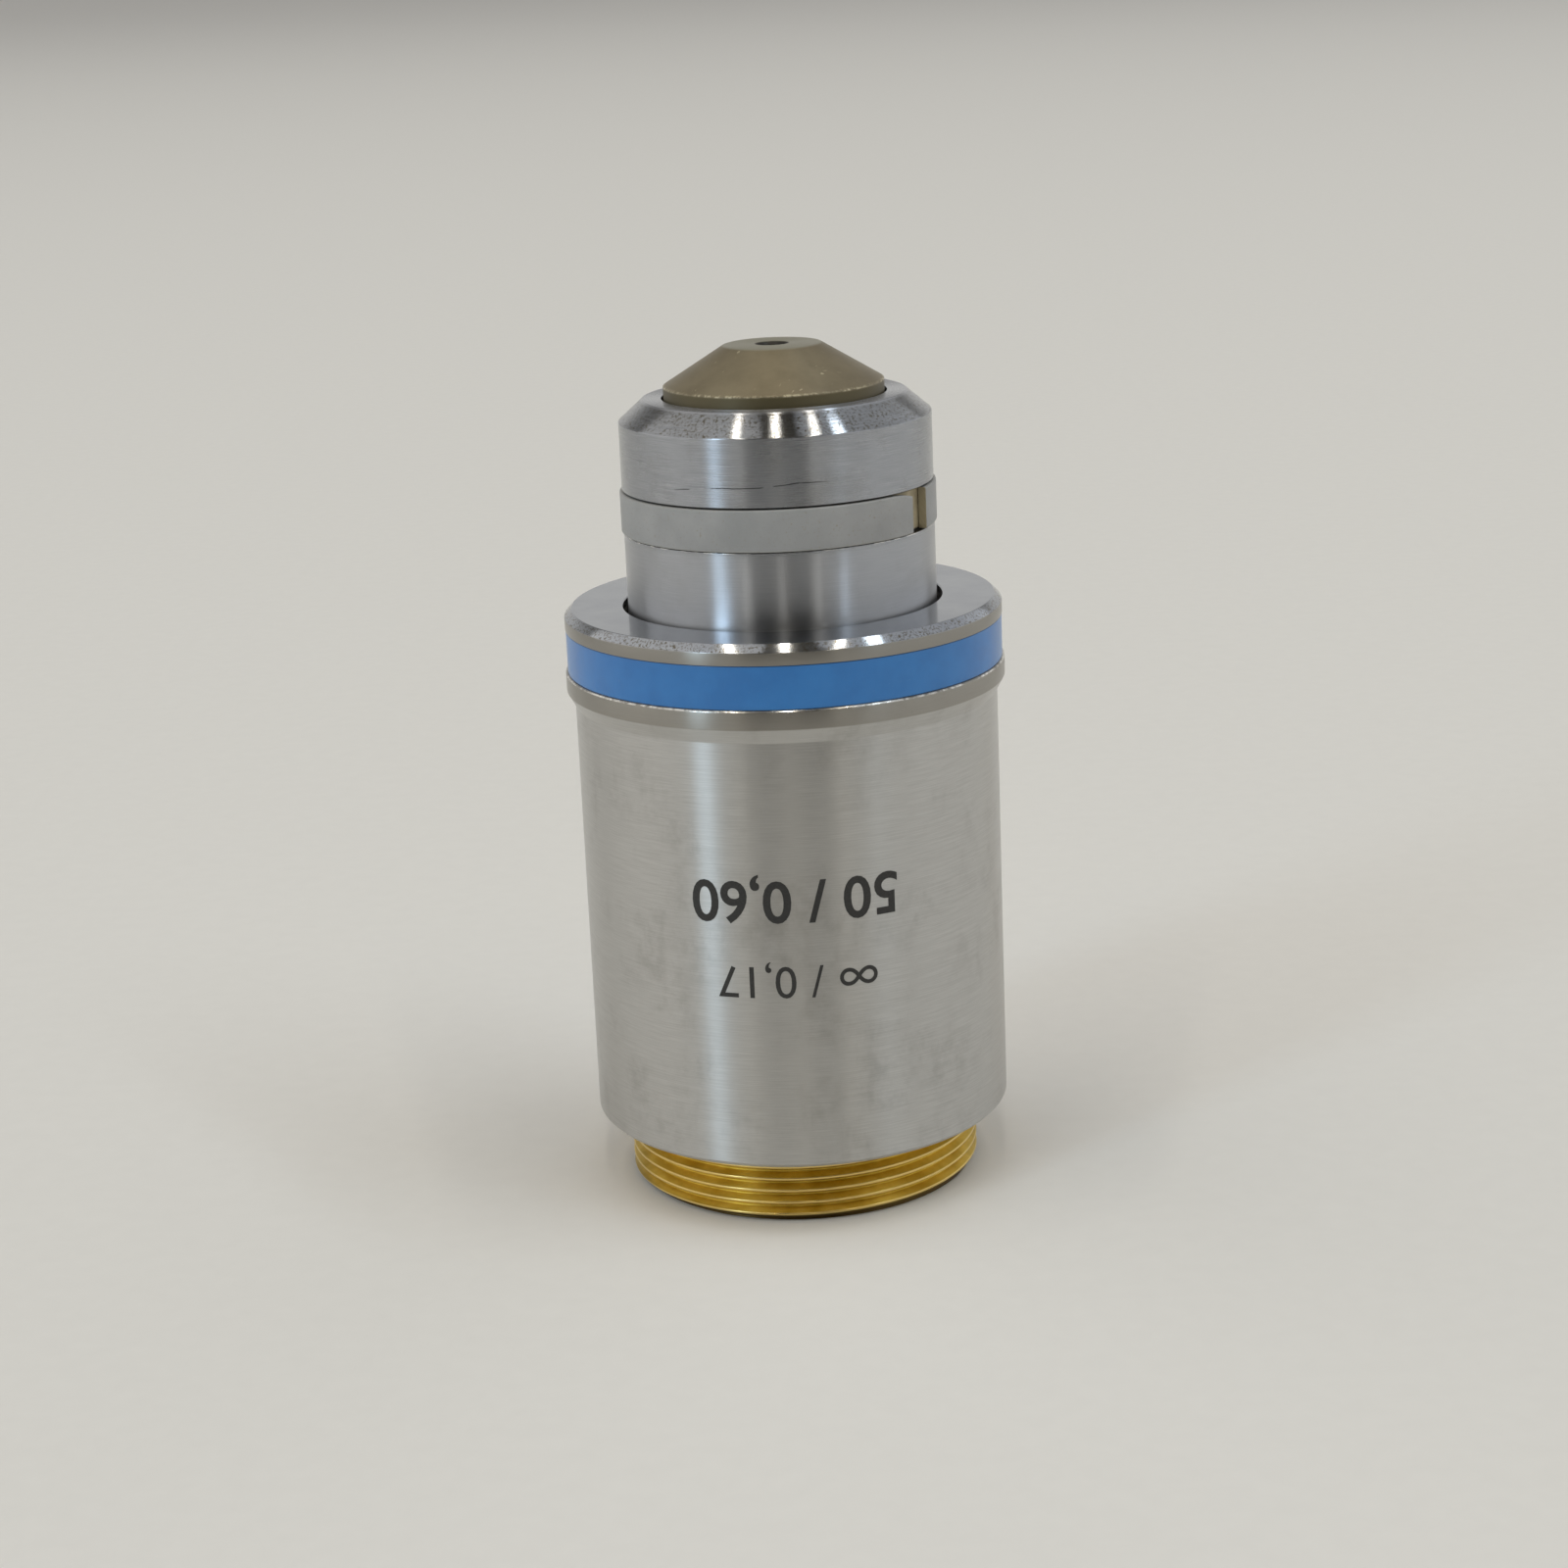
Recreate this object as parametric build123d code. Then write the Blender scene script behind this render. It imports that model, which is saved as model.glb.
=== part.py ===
from build123d import *
from math import copysign, sqrt
import os

# Microscope objective with a spring-loaded nose, in millimetres.
# The optical axis is Z. The origin is the centre of the thread's end face, on
# which the objective stands, and +Z points to the front lens.

# Fits, all radial
SLIDE_GAP = 0.05
SEAT_GAP = 0.04
PASS_GAP = 0.30

# Mounting thread, the standard one for objectives, with its bore for the light
THREAD_D = 20.32
THREAD_LENGTH = 4.0
THREAD_CHAMFER = 0.4
THREAD_RELIEF = 0.5
THREAD_RELIEF_DEPTH = 0.5
THREAD_WALL = 1.96
BORE_CHAMFER = 0.5
CONNECTOR_SEAT = 0.35
CONNECTOR_FLANGE = 2.0

# Nose barrel and the collar that stops it
NOSE_D = 17.44
NOSE_WALL = 1.42
NOSE_COLLAR_WIDTH = 0.78
NOSE_COLLAR_HEIGHT = 2.95
NOSE_LIP_THICKNESS = 1.04
LOWER_LAND = 4.2
UPPER_LAND = 3.73
NOSE_BEVEL_WIDTH = 1.38
NOSE_BEVEL_SHARE = 0.6
NOSE_BEVEL_HEIGHT = 1.19
NOSE_TRAVEL = 3.5
STOP_GAP = 0.05

# Split ring and the groove it springs into
SPLIT_RING_HEIGHT = 2.44
SPLIT_RING_PROUD = 0.13
SPLIT_RING_EDGE = 0.08
GROOVE_DEPTH = 0.36
SPLIT_START_DEG = 55.5
SPLIT_WIDTH_DEG = 10.5

# Front lens mount
MOUNT_FOOT_D = 12.3
MOUNT_TIP_D = 5.4
MOUNT_FOOT_HEIGHT = 0.64
MOUNT_CONE_HEIGHT = 2.12
MOUNT_SKIRT_LENGTH = 4.74
MOUNT_SKIRT_WALL = 1.55
FOOT_GAP = 0.13
LENS_HOLE_D = 1.5
LENS_HOLE_FLARE = 0.2
LENS_HOLE_LIP = 0.35
MOUNT_FLARE_DEPTH = 3.1

# Housing
GUIDE_WALL = 1.1
GUIDE_RING_STEP = 0.4
SLEEVE_WALL = 1.31
SLEEVE_LIP = 1.5
SLEEVE_EDGE = 0.25
SLEEVE_BODY_LENGTH = 24.35
FLARE_HEIGHT = 0.81
RIM_PROUD = 0.45
RIM_HEIGHT = 1.06
RIM_EDGE = 0.08
SPIGOT_WALL = 0.66
COLOUR_RING_HEIGHT = 2.43
COLOUR_RING_PROUD = 0.33
FRONT_RING_THICKNESS = 1.13
FRONT_RING_PROUD = 0.36
FRONT_RING_CHAMFER = 0.43
FRONT_RING_SPIGOT = 1.45
CLAMP_GAP = 0.05

# Stop ring and lock ring inside the guide tube
STOP_RING_HEIGHT = 1.4
LOCK_RING_HEIGHT = 1.2
SPANNER_SLOT_WIDTH = 1.2
SPANNER_SLOT_DEPTH = 0.5

# Return spring and its washer
WASHER_THICKNESS = 0.4
WASHER_WIDTH = 1.31
SPRING_WIRE = 0.7
SPRING_GROUND = 0.2
SPRING_PITCH = 1.48
SPRING_CLEARANCE = 0.35

# Guide screw and the slot that it runs in
GUIDE_SCREW_D = 2.0
GUIDE_POINT_D = 1.5
GUIDE_POINT_REACH = 0.95
GUIDE_SLOT_GAP = 0.15
GUIDE_SLOT_FLOOR = 0.3
GUIDE_SLOT_END = 0.35

# Centring screws under the split ring
CENTRING_SCREW_D = 1.6
CENTRING_SCREW_COUNT = 3
CENTRING_SCREW_START_DEG = 30
CENTRING_SCREW_SINK = 0.15
SCREW_SLOT_WIDTH = 0.3
SCREW_SLOT_DEPTH = 0.35

# Lens tube and the stack in it, from the front to the rear
TUBE_WALL = 0.75
TUBE_TAIL = 0.4
TUBE_COLLAR_DROP = 2.6
CENTRING_CELL_PLAY = 0.4
CENTRING_CELL_LENGTH = 2.7
DOUBLET_CELL_LENGTH = 4.6
SPACER_RING_LENGTH = 1.8
SPACER_WALL = 1.0
TRIPLET_CELL_LENGTH = 5.6
SPACER_TUBE_LENGTH = 7.0
REAR_CELL_LENGTH = 4.0
RETAINING_RING_LENGTH = 1.4
RETAINING_RING_WALL = 2.3
LEDGE_WIDTH = 0.4
CEMENT_FILM = 0.02

# Front lens
FRONT_LENS_R = 1.35
FRONT_LENS_EDGE = 0.85
FRONT_LENS_SAG = 0.95
FRONT_LENS_RIM = 0.05

# Meniscus lens: its cell's wall and ledge, its edge thickness and surface depths
MENISCUS_CELL_WALL = 2.51
MENISCUS_LEDGE = 0.5
MENISCUS_EDGE = 1.6
MENISCUS_REAR_SAG = 1.0
MENISCUS_FRONT_SAG = 0.6

# Cemented doublet
DOUBLET_CELL_WALL = 2.07
DOUBLET_LEDGE = 0.6
DOUBLET_REAR_EDGE = 1.3
DOUBLET_FRONT_EDGE = 0.9
DOUBLET_JOINT_SAG = 0.7
DOUBLET_FRONT_SAG = 0.9

# Cemented triplet
TRIPLET_CELL_WALL = 1.87
TRIPLET_LEDGE = 0.7
TRIPLET_REAR_EDGE = 1.0
TRIPLET_CENTRE_EDGE = 1.4
TRIPLET_FRONT_EDGE = 1.0
TRIPLET_REAR_SAG = 0.5
TRIPLET_JOINT_SAG = 0.45
TRIPLET_FRONT_SAG = 0.7

# Rear cemented doublet, hollow towards the eye
REAR_CELL_WALL = 2.57
REAR_LEDGE = 0.5
REAR_REAR_EDGE = 1.5
REAR_FRONT_EDGE = 1.3
REAR_HOLLOW_SAG = 0.6
REAR_JOINT_SAG = 0.2
REAR_FRONT_SAG = 0.6

# Radii, worked out from the nose outwards, apart from the thread's own
THREAD_R = THREAD_D / 2
RELIEF_R = THREAD_R - THREAD_RELIEF_DEPTH
BORE_R = THREAD_R - THREAD_WALL
NOSE_R = NOSE_D / 2
NOSE_BORE_R = NOSE_R - NOSE_WALL
COLLAR_R = NOSE_R + NOSE_COLLAR_WIDTH
HOLE_R = NOSE_R + PASS_GAP
GUIDE_BORE_R = COLLAR_R + SLIDE_GAP
GUIDE_R = GUIDE_BORE_R + GUIDE_WALL
NECK_R = GUIDE_R - CONNECTOR_SEAT
WASHER_R = GUIDE_BORE_R - SEAT_GAP
WASHER_BORE_R = WASHER_R - WASHER_WIDTH
STOP_RING_R = GUIDE_BORE_R + GUIDE_RING_STEP - SEAT_GAP
SLEEVE_BORE_R = GUIDE_R + SEAT_GAP
SLEEVE_R = SLEEVE_BORE_R + SLEEVE_WALL
RIM_R = SLEEVE_R + RIM_PROUD
SPIGOT_R = SLEEVE_BORE_R + SPIGOT_WALL
GROOVE_R = NOSE_R - GROOVE_DEPTH
TUBE_R = NOSE_BORE_R - SEAT_GAP
TUBE_BORE_R = TUBE_R - TUBE_WALL
CELL_R = TUBE_BORE_R - SEAT_GAP
CENTRING_CELL_R = TUBE_BORE_R - CENTRING_CELL_PLAY
MENISCUS_R = CENTRING_CELL_R - MENISCUS_CELL_WALL
DOUBLET_R = CELL_R - DOUBLET_CELL_WALL
TRIPLET_R = CELL_R - TRIPLET_CELL_WALL
REAR_LENS_R = CELL_R - REAR_CELL_WALL
FOOT_R = MOUNT_FOOT_D / 2
SKIRT_BORE_R = CELL_R - MOUNT_SKIRT_WALL
GUIDE_SLOT_R = COLLAR_R - GUIDE_POINT_REACH - GUIDE_SLOT_FLOOR

# Heights of the housing, from the thread's end upwards
SHOULDER_Z = THREAD_LENGTH
RELIEF_Z = SHOULDER_Z - THREAD_RELIEF
CONNECTOR_Z = SHOULDER_Z + SLEEVE_LIP
CONNECTOR_TOP_Z = CONNECTOR_Z + CONNECTOR_FLANGE
FLARE_Z = SHOULDER_Z + SLEEVE_BODY_LENGTH
RIM_Z = FLARE_Z + FLARE_HEIGHT
COLOUR_RING_Z = RIM_Z + RIM_HEIGHT
FRONT_RING_Z = COLOUR_RING_Z + COLOUR_RING_HEIGHT
FRONT_Z = FRONT_RING_Z + FRONT_RING_THICKNESS
GUIDE_TOP_Z = FRONT_RING_Z - FRONT_RING_SPIGOT
LOCK_RING_Z = GUIDE_TOP_Z - LOCK_RING_HEIGHT
STOP_RING_Z = LOCK_RING_Z - STOP_RING_HEIGHT

# Heights of the nose
COLLAR_TOP_Z = STOP_RING_Z - STOP_GAP
COLLAR_Z = COLLAR_TOP_Z - NOSE_COLLAR_HEIGHT
GROOVE_Z = FRONT_Z + LOWER_LAND
GROOVE_TOP_Z = GROOVE_Z + SPLIT_RING_HEIGHT
BEVEL_Z = GROOVE_TOP_Z + UPPER_LAND
NOSE_TOP_Z = BEVEL_Z + NOSE_BEVEL_HEIGHT
LIP_Z = NOSE_TOP_Z - NOSE_LIP_THICKNESS
CONE_Z = NOSE_TOP_Z + MOUNT_FOOT_HEIGHT
TIP_Z = CONE_Z + MOUNT_CONE_HEIGHT

# Heights of the lens stack, from the mount's skirt downwards
CENTRING_CELL_TOP_Z = NOSE_TOP_Z - MOUNT_SKIRT_LENGTH
DOUBLET_CELL_TOP_Z = CENTRING_CELL_TOP_Z - CENTRING_CELL_LENGTH
SPACER_RING_TOP_Z = DOUBLET_CELL_TOP_Z - DOUBLET_CELL_LENGTH
TRIPLET_CELL_TOP_Z = SPACER_RING_TOP_Z - SPACER_RING_LENGTH
SPACER_TUBE_TOP_Z = TRIPLET_CELL_TOP_Z - TRIPLET_CELL_LENGTH
REAR_CELL_TOP_Z = SPACER_TUBE_TOP_Z - SPACER_TUBE_LENGTH
RETAINING_RING_TOP_Z = REAR_CELL_TOP_Z - REAR_CELL_LENGTH
RETAINING_RING_Z = RETAINING_RING_TOP_Z - RETAINING_RING_LENGTH
TUBE_Z = RETAINING_RING_Z - TUBE_TAIL

# Heights of the tube's collar, of its slot and of the spring that fills the room below it
TUBE_COLLAR_TOP_Z = COLLAR_Z - TUBE_COLLAR_DROP
GUIDE_SLOT_TOP_Z = TUBE_COLLAR_TOP_Z - GUIDE_SLOT_END
GUIDE_SLOT_Z = GUIDE_SLOT_TOP_Z - NOSE_TRAVEL - GUIDE_POINT_D - 2 * GUIDE_SLOT_GAP
TUBE_COLLAR_Z = GUIDE_SLOT_Z - GUIDE_SLOT_END
GUIDE_SCREW_Z = GUIDE_SLOT_Z + GUIDE_SLOT_GAP + GUIDE_POINT_D / 2
CENTRING_SCREW_Z = (GROOVE_Z + GROOVE_TOP_Z) / 2
SPRING_Z = CONNECTOR_TOP_Z + WASHER_THICKNESS
SPRING_LENGTH = TUBE_COLLAR_Z - SPRING_Z


def turned(*outline):
    """A turned piece: an outline of (radius, height) corners, spun about the optical axis."""
    corners = [(radius, 0, height) for radius, height in outline]
    return revolve(make_face(Polyline(*corners, close=True)), Axis.Z)


def tube(outer, inner, bottom, top):
    """A plain tube between two heights."""
    return Pos(0, 0, bottom) * extrude(Circle(outer) - Circle(inner), top - bottom)


def spanner_slots(outer, face, depth):
    """The two slots that a pin spanner turns a ring by, cut down from or up to a face."""
    return Pos(0, 0, face) * Box(2 * outer + 1, SPANNER_SLOT_WIDTH, 2 * depth)


def radial_rod(radius, inner, outer, height, azimuth):
    """A round rod along a radius, at an angle from +X."""
    rod = extrude(Plane.YZ * Circle(radius), outer - inner)
    return Rot(0, 0, azimuth) * Pos(inner, 0, height) * rod


def radial_screw(radius, inner, outer, height, azimuth):
    """A headless screw along a radius, with a driver slot in its outer end."""
    slot = Box(2 * SCREW_SLOT_DEPTH, SCREW_SLOT_WIDTH, 3 * radius)
    slot = Rot(0, 0, azimuth) * Pos(outer, 0, height) * slot
    return radial_rod(radius, inner, outer, height, azimuth) - slot


def mounting_thread():
    """Brass connector: the thread, at its major diameter, with the relief behind it, then a neck
    in the sleeve's lip and a flange that rests on the lip and carries the washer and guide tube."""
    return turned(
        (BORE_R + BORE_CHAMFER, 0),
        (THREAD_R - THREAD_CHAMFER, 0),
        (THREAD_R, THREAD_CHAMFER),
        (THREAD_R, RELIEF_Z),
        (RELIEF_R, RELIEF_Z),
        (RELIEF_R, SHOULDER_Z),
        (NECK_R, SHOULDER_Z),
        (NECK_R, CONNECTOR_Z),
        (GUIDE_R, CONNECTOR_Z),
        (GUIDE_R, CONNECTOR_TOP_Z),
        (WASHER_BORE_R, CONNECTOR_TOP_Z),
        (BORE_R, BORE_CHAMFER),
    )


def outer_sleeve():
    """Bright casing: a plain body that flares to a rim, with a spigot for the colour ring."""
    lip_bore = NECK_R + SEAT_GAP
    return turned(
        (lip_bore, SHOULDER_Z),
        (SLEEVE_R - SLEEVE_EDGE, SHOULDER_Z),
        (SLEEVE_R, SHOULDER_Z + SLEEVE_EDGE),
        (SLEEVE_R, FLARE_Z),
        (RIM_R, RIM_Z),
        (RIM_R, COLOUR_RING_Z - RIM_EDGE),
        (RIM_R - RIM_EDGE, COLOUR_RING_Z),
        (SPIGOT_R, COLOUR_RING_Z),
        (SPIGOT_R, FRONT_RING_Z - CLAMP_GAP),
        (SLEEVE_BORE_R, FRONT_RING_Z - CLAMP_GAP),
        (SLEEVE_BORE_R, CONNECTOR_Z),
        (lip_bore, CONNECTOR_Z),
    )


def colour_ring():
    """Enamelled ring that tells the magnification, clamped under the front ring."""
    outer = SLEEVE_R + COLOUR_RING_PROUD
    return tube(outer, SPIGOT_R + SEAT_GAP, COLOUR_RING_Z, FRONT_RING_Z)


def front_ring():
    """Polished ring that screws into the sleeve and closes it round the nose."""
    outer = SLEEVE_R + FRONT_RING_PROUD
    return turned(
        (HOLE_R, GUIDE_TOP_Z),
        (GUIDE_R, GUIDE_TOP_Z),
        (GUIDE_R, FRONT_RING_Z),
        (outer, FRONT_RING_Z),
        (outer, FRONT_Z - FRONT_RING_CHAMFER),
        (outer - FRONT_RING_CHAMFER, FRONT_Z),
        (HOLE_R, FRONT_Z),
    )


def guide_tube():
    """Brass tube that the nose slides in, bored wider at its front for the two rings."""
    ring_bore = STOP_RING_R + SEAT_GAP
    body = turned(
        (GUIDE_BORE_R, CONNECTOR_TOP_Z),
        (GUIDE_R, CONNECTOR_TOP_Z),
        (GUIDE_R, GUIDE_TOP_Z),
        (ring_bore, GUIDE_TOP_Z),
        (ring_bore, STOP_RING_Z),
        (GUIDE_BORE_R, STOP_RING_Z),
    )
    screw_hole = GUIDE_SCREW_D / 2 + SEAT_GAP
    return body - radial_rod(screw_hole, COLLAR_R, SLEEVE_R, GUIDE_SCREW_Z, 90)


def stop_ring():
    """Threaded ring that the nose's collar rests against: turning it sets the focus height."""
    ring = tube(STOP_RING_R, HOLE_R, STOP_RING_Z, LOCK_RING_Z)
    return ring - spanner_slots(STOP_RING_R, LOCK_RING_Z, SPANNER_SLOT_DEPTH)


def lock_ring():
    """Threaded ring that locks the stop ring."""
    ring = tube(STOP_RING_R, HOLE_R, LOCK_RING_Z, GUIDE_TOP_Z)
    return ring - spanner_slots(STOP_RING_R, GUIDE_TOP_Z, SPANNER_SLOT_DEPTH)


def spring_washer():
    """Flat steel washer between the connector and the spring."""
    return tube(WASHER_R, WASHER_BORE_R, CONNECTOR_TOP_Z, SPRING_Z)


def return_spring():
    """Square-wire spring with closed ends ground flat, squeezed a little at rest."""
    coil_r = GUIDE_BORE_R - SPRING_CLEARANCE - SPRING_WIRE / 2
    start = SPRING_Z + SPRING_WIRE / 2 - SPRING_GROUND
    open_height = SPRING_LENGTH - 3 * SPRING_WIRE + 2 * SPRING_GROUND
    turn_count = round(open_height / SPRING_PITCH)
    closed_turn = Helix(SPRING_WIRE, SPRING_WIRE, coil_r)
    open_turns = Helix(open_height / turn_count, open_height, coil_r)
    path = Wire(
        [
            Pos(0, 0, start) * closed_turn,
            Pos(0, 0, start + SPRING_WIRE) * open_turns,
            Pos(0, 0, start + SPRING_WIRE + open_height) * closed_turn,
        ]
    )
    section = Plane(origin=path @ 0, x_dir=(1, 0, 0), z_dir=path % 0)
    coil = sweep(section * Rectangle(SPRING_WIRE, SPRING_WIRE), path, is_frenet=True)
    return coil & tube(GUIDE_R, WASHER_BORE_R, SPRING_Z, TUBE_COLLAR_Z)


def guide_screw():
    """Slotted screw in the guide tube, whose point runs in the lens tube's slot."""
    shank_start = GUIDE_BORE_R + SEAT_GAP
    tip = COLLAR_R - GUIDE_POINT_REACH
    shank = radial_screw(GUIDE_SCREW_D / 2, shank_start, GUIDE_R - SEAT_GAP, GUIDE_SCREW_Z, 90)
    return shank + radial_rod(GUIDE_POINT_D / 2, tip, shank_start + SEAT_GAP, GUIDE_SCREW_Z, 90)


def centring_screws(radius, inner, outer):
    """The radial screws, or with wider values their holes, evenly spaced round the nose."""
    step = 360 / CENTRING_SCREW_COUNT
    return [
        radial_screw(radius, inner, outer, CENTRING_SCREW_Z, CENTRING_SCREW_START_DEG + step * index)
        for index in range(CENTRING_SCREW_COUNT)
    ]


def centring_holes():
    """Holes for the centring screws, right through the barrel and the lens tube."""
    step = 360 / CENTRING_SCREW_COUNT
    radius = CENTRING_SCREW_D / 2 + SEAT_GAP
    return [
        radial_rod(
            radius, CENTRING_CELL_R, NOSE_R, CENTRING_SCREW_Z, CENTRING_SCREW_START_DEG + step * index
        )
        for index in range(CENTRING_SCREW_COUNT)
    ]


def nose_barrel():
    """Bright turned barrel with its stop collar, its ring groove and its bevelled front."""
    lip_r = FOOT_R + FOOT_GAP
    bevel = min(NOSE_BEVEL_WIDTH, NOSE_BEVEL_SHARE * (NOSE_R - lip_r))
    body = turned(
        (NOSE_BORE_R, COLLAR_Z),
        (COLLAR_R, COLLAR_Z),
        (COLLAR_R, COLLAR_TOP_Z),
        (NOSE_R, COLLAR_TOP_Z),
        (NOSE_R, GROOVE_Z),
        (GROOVE_R, GROOVE_Z),
        (GROOVE_R, GROOVE_TOP_Z),
        (NOSE_R, GROOVE_TOP_Z),
        (NOSE_R, BEVEL_Z),
        (NOSE_R - bevel, NOSE_TOP_Z),
        (lip_r, NOSE_TOP_Z),
        (lip_r, LIP_Z),
        (NOSE_BORE_R, LIP_Z),
    )
    return body - centring_holes()


def split_ring():
    """Grey plastic ring, open at one side, that covers the centring screws."""
    outer = NOSE_R + SPLIT_RING_PROUD
    bottom = GROOVE_Z + CEMENT_FILM
    top = GROOVE_TOP_Z - CEMENT_FILM
    ring = turned(
        (GROOVE_R + SEAT_GAP, bottom),
        (outer - SPLIT_RING_EDGE, bottom),
        (outer, bottom + SPLIT_RING_EDGE),
        (outer, top - SPLIT_RING_EDGE),
        (outer - SPLIT_RING_EDGE, top),
        (GROOVE_R + SEAT_GAP, top),
    )
    start = SPLIT_START_DEG - 90
    opening = Plane.XY * make_face(
        Polyline(
            (0, 0),
            (2 * NOSE_R, 0),
            Vector(2 * NOSE_R, 0).rotate(Axis.Z, SPLIT_WIDTH_DEG),
            close=True,
        )
    )
    opening = Rot(0, 0, start) * Pos(0, 0, bottom - 1) * extrude(opening, top - bottom + 2)
    return ring - opening


def lens_tube():
    """Inner tube that holds the lens stack, with the collar that the spring pushes on."""
    body = turned(
        (TUBE_BORE_R, TUBE_Z),
        (TUBE_R, TUBE_Z),
        (TUBE_R, TUBE_COLLAR_Z),
        (COLLAR_R, TUBE_COLLAR_Z),
        (COLLAR_R, TUBE_COLLAR_TOP_Z),
        (TUBE_R, TUBE_COLLAR_TOP_Z),
        (TUBE_R, LIP_Z),
        (TUBE_BORE_R, LIP_Z),
    )
    slot_width = GUIDE_POINT_D + 2 * GUIDE_SLOT_GAP
    slot = Plane.XZ * SlotOverall(GUIDE_SLOT_TOP_Z - GUIDE_SLOT_Z, slot_width, rotation=90)
    slot = extrude(slot, -(COLLAR_R + 1 - GUIDE_SLOT_R))
    slot_middle = (GUIDE_SLOT_Z + GUIDE_SLOT_TOP_Z) / 2
    body -= Pos(0, GUIDE_SLOT_R, slot_middle) * slot
    return body - centring_holes()


def front_lens_mount():
    """Cone that holds the front lens, with a skirt trapped under the barrel's lip."""
    pocket = FRONT_LENS_R + SEAT_GAP
    lip_z = TIP_Z - LENS_HOLE_LIP
    hole = LENS_HOLE_D / 2
    pocket_z = lip_z - FRONT_LENS_EDGE
    return turned(
        (SKIRT_BORE_R, CENTRING_CELL_TOP_Z),
        (CELL_R, CENTRING_CELL_TOP_Z),
        (CELL_R, LIP_Z),
        (FOOT_R, LIP_Z),
        (FOOT_R, CONE_Z),
        (MOUNT_TIP_D / 2, TIP_Z),
        (hole + LENS_HOLE_FLARE, TIP_Z),
        (hole, TIP_Z - LENS_HOLE_FLARE),
        (hole, lip_z),
        (pocket, lip_z),
        (pocket, pocket_z),
        (SKIRT_BORE_R, pocket_z - MOUNT_FLARE_DEPTH),
    )


def lens_surface(rim, level, sag):
    """Half of a spherical surface in section, from its pole on the axis out to its rim."""
    pole = (0, 0, level + sag)
    edge = (rim, 0, level)
    if sag == 0:
        return Line(pole, edge)
    radius = (rim**2 + sag**2) / (2 * sag)
    middle = rim / 2
    depth = radius - copysign(sqrt(radius**2 - middle**2), radius)
    return ThreePointArc(pole, (middle, 0, level + sag - depth), edge)


def lens(radius, rear, front):
    """A round lens between two surfaces, each given as (rim radius, edge height, sag)."""
    rear_rim, rear_level, rear_sag = rear
    front_rim, front_level, front_sag = front
    outline = [
        lens_surface(*rear),
        Line((radius, 0, rear_level), (radius, 0, front_level)),
        lens_surface(*front),
        Line((0, 0, rear_level + rear_sag), (0, 0, front_level + front_sag)),
    ]
    if rear_rim < radius:
        outline.append(Line((rear_rim, 0, rear_level), (radius, 0, rear_level)))
    if front_rim < radius:
        outline.append(Line((front_rim, 0, front_level), (radius, 0, front_level)))
    return revolve(make_face(outline), Axis.Z)


def lens_cell(outer, lens_r, ledge, bottom, top):
    """Brass ring with a pocket for its glass, which rests on a ledge."""
    pocket = lens_r + SEAT_GAP
    return turned(
        (lens_r - LEDGE_WIDTH, bottom),
        (outer, bottom),
        (outer, top),
        (pocket, top),
        (pocket, bottom + ledge),
        (lens_r - LEDGE_WIDTH, bottom + ledge),
    )


def front_lens():
    """Nearly half a ball, flat side out, behind the hole in the tip."""
    face_z = TIP_Z - LENS_HOLE_LIP
    rear = (FRONT_LENS_R - FRONT_LENS_RIM, face_z - FRONT_LENS_EDGE, -FRONT_LENS_SAG)
    return lens(FRONT_LENS_R, rear, (FRONT_LENS_R, face_z, 0))


def meniscus_lens():
    """Bent lens, hollow towards the tip, in the centring cell."""
    clear = MENISCUS_R - LEDGE_WIDTH
    rear_z = DOUBLET_CELL_TOP_Z + MENISCUS_LEDGE
    rear = (clear, rear_z, -MENISCUS_REAR_SAG)
    return lens(MENISCUS_R, rear, (clear, rear_z + MENISCUS_EDGE, -MENISCUS_FRONT_SAG))


def cemented(radius, surfaces):
    """Lenses cemented in a row: surfaces are (edge height, sag) from the rear to the front."""
    clear = radius - LEDGE_WIDTH
    last = len(surfaces) - 2
    glasses = []
    for index in range(last + 1):
        rear_level, rear_sag = surfaces[index]
        front_level, front_sag = surfaces[index + 1]
        rear_rim = clear if index == 0 else radius
        front_rim = clear if index == last else radius
        film = 0 if index == last else CEMENT_FILM
        rear = (rear_rim, rear_level, rear_sag)
        glasses.append(lens(radius, rear, (front_rim, front_level - film, front_sag)))
    return glasses


def doublet():
    """Front doublet: flat rear glass under a glass that is round on both sides."""
    rear_z = SPACER_RING_TOP_Z + DOUBLET_LEDGE
    joint_z = rear_z + DOUBLET_REAR_EDGE
    front_z = joint_z + DOUBLET_FRONT_EDGE
    surfaces = [(rear_z, 0), (joint_z, -DOUBLET_JOINT_SAG), (front_z, DOUBLET_FRONT_SAG)]
    return cemented(DOUBLET_R, surfaces)


def triplet():
    """Triplet: a glass hollow on both sides between two that are round on both sides."""
    rear_z = SPACER_TUBE_TOP_Z + TRIPLET_LEDGE
    rear_joint_z = rear_z + TRIPLET_REAR_EDGE
    front_joint_z = rear_joint_z + TRIPLET_CENTRE_EDGE
    surfaces = [
        (rear_z, -TRIPLET_REAR_SAG),
        (rear_joint_z, TRIPLET_JOINT_SAG),
        (front_joint_z, -TRIPLET_JOINT_SAG),
        (front_joint_z + TRIPLET_FRONT_EDGE, TRIPLET_FRONT_SAG),
    ]
    return cemented(TRIPLET_R, surfaces)


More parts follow.
